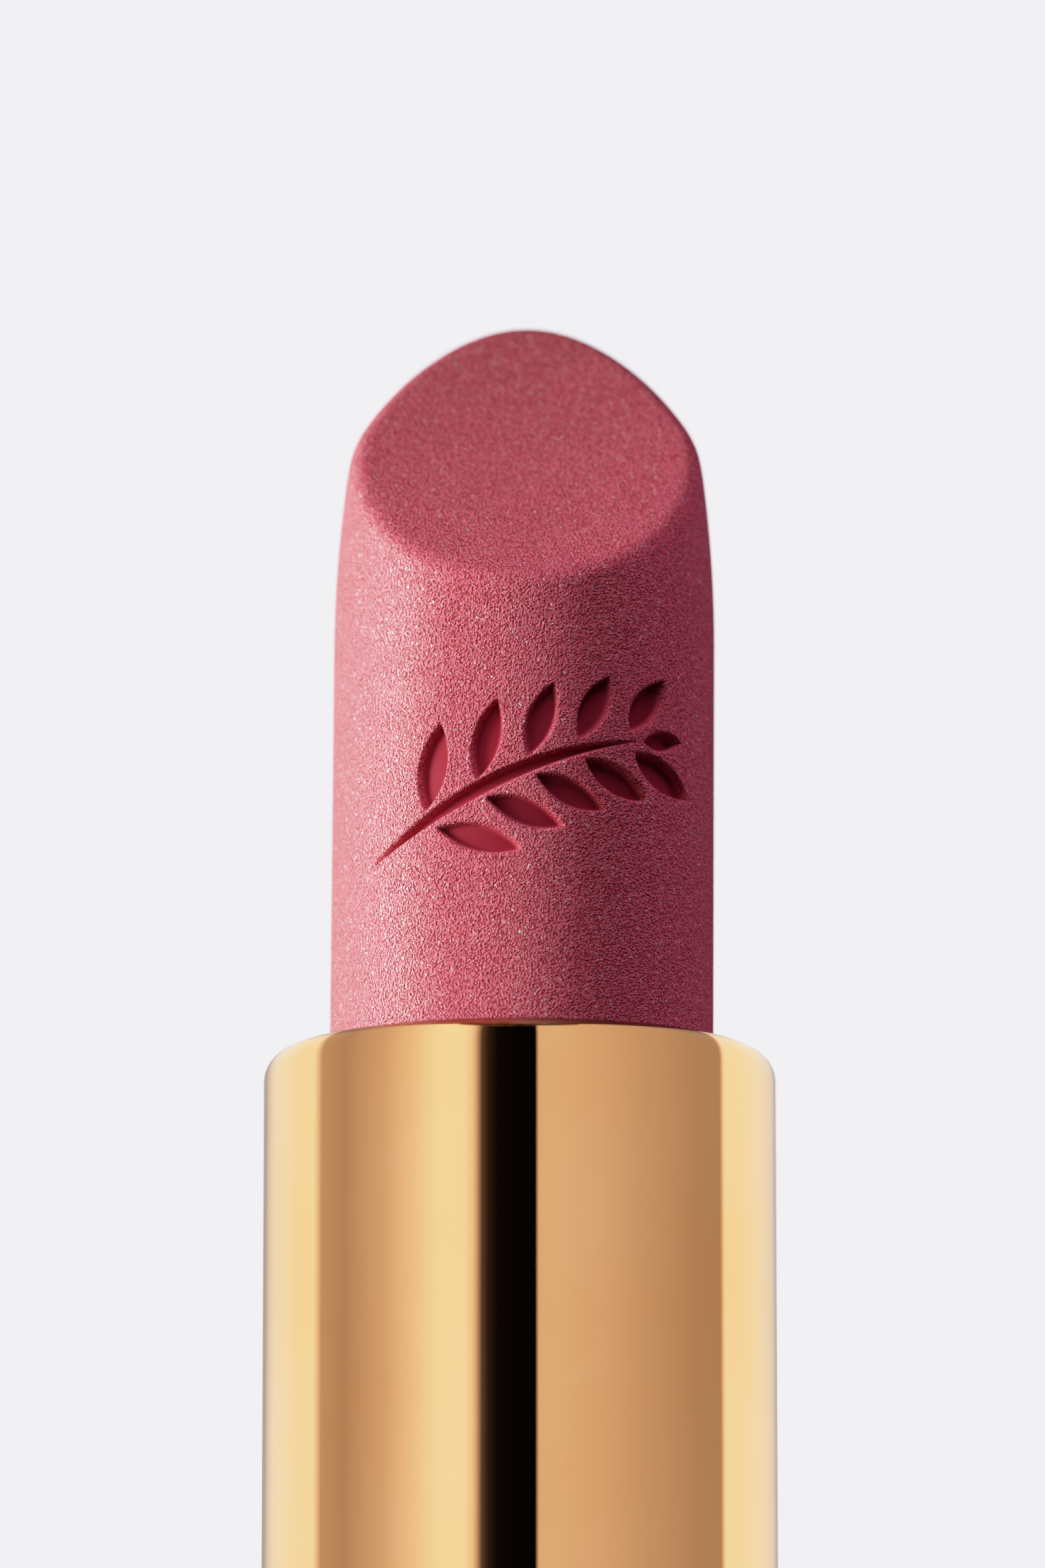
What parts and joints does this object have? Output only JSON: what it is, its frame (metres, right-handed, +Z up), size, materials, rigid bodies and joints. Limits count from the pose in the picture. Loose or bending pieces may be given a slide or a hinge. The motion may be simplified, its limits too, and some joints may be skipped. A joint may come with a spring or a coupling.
{
  "type": "lipstick case",
  "caption": "Twist-up lipstick case standing open: gold sleeve on a weighted base, raised slant-cut colour stick, magnetic pull-off cap held above.",
  "frame": {"origin": "middle of the foot ring, on the surface the case stands on", "axes": "+Z up along the case, from foot to cap; -Y is the front, which the slant face and the pressed sprig look to; +X to the right of the front"},
  "size_m": [0.02, 0.02, 0.1366],
  "materials": {
    "polished_gold": "mirror polished, warm gold anodised",
    "sleeve_gold": "mirror polished, warm gold anodised",
    "collar_gold": "polished, warm gold anodised",
    "cap_gold": "mirror polished, warm gold anodised",
    "satin_gold": "satin, turned",
    "black_plastic": "moulded gloss",
    "guide_plastic": "moulded gloss",
    "spiral_plastic": "moulded, natural white",
    "cup_plastic": "moulded, gold tinted",
    "slip_plastic": "natural acetal",
    "soft_rubber": "greased",
    "bright_steel": "zinc plated",
    "magnet_nickel": "nickel plated",
    "rose_paper": "matte printed, no text",
    "rose_stick": "matte, powdery"
  },
  "bodies": {
    "base": {"base_shell": "polished_gold", "base_liner": "black_plastic", "base_weight": "bright_steel", "shade_label": "rose_paper", "neck_ring": "collar_gold", "magnet_ring": "magnet_nickel", "guide_tube": "guide_plastic", "friction_ring_lower": "soft_rubber", "friction_ring_upper": "soft_rubber", "thrust_washer": "slip_plastic"},
    "sleeve": {"sleeve_shell": "sleeve_gold", "spiral_cam": "spiral_plastic"},
    "carrier": {"bullet_cup": "cup_plastic", "lipstick_bullet": "rose_stick"},
    "cap": {"cap_shell": "cap_gold", "cap_liner": "black_plastic", "keeper_ring": "bright_steel", "cap_weight": "bright_steel", "cap_top_disc": "satin_gold"}
  },
  "joints": [
    {"name": "twist", "type": "hinge", "parent": "base", "child": "sleeve", "pos_m": [0, 0, 0.03], "axis": [0, 0, 1], "range_deg": [-540, 0]},
    {"name": "rise", "type": "slide", "parent": "base", "child": "carrier", "axis": [0, 0, 1], "range_m": [-0.0246, 0]},
    {"name": "cap_pull", "type": "slide", "parent": "base", "child": "cap", "axis": [0, 0, 1], "range_m": [-0.0596, 0], "stiffness_N_per_m": 60}
  ],
  "couplings": [
    {"joint": "twist", "follows": "rise", "rad_per_m": 383.12}
  ]
}
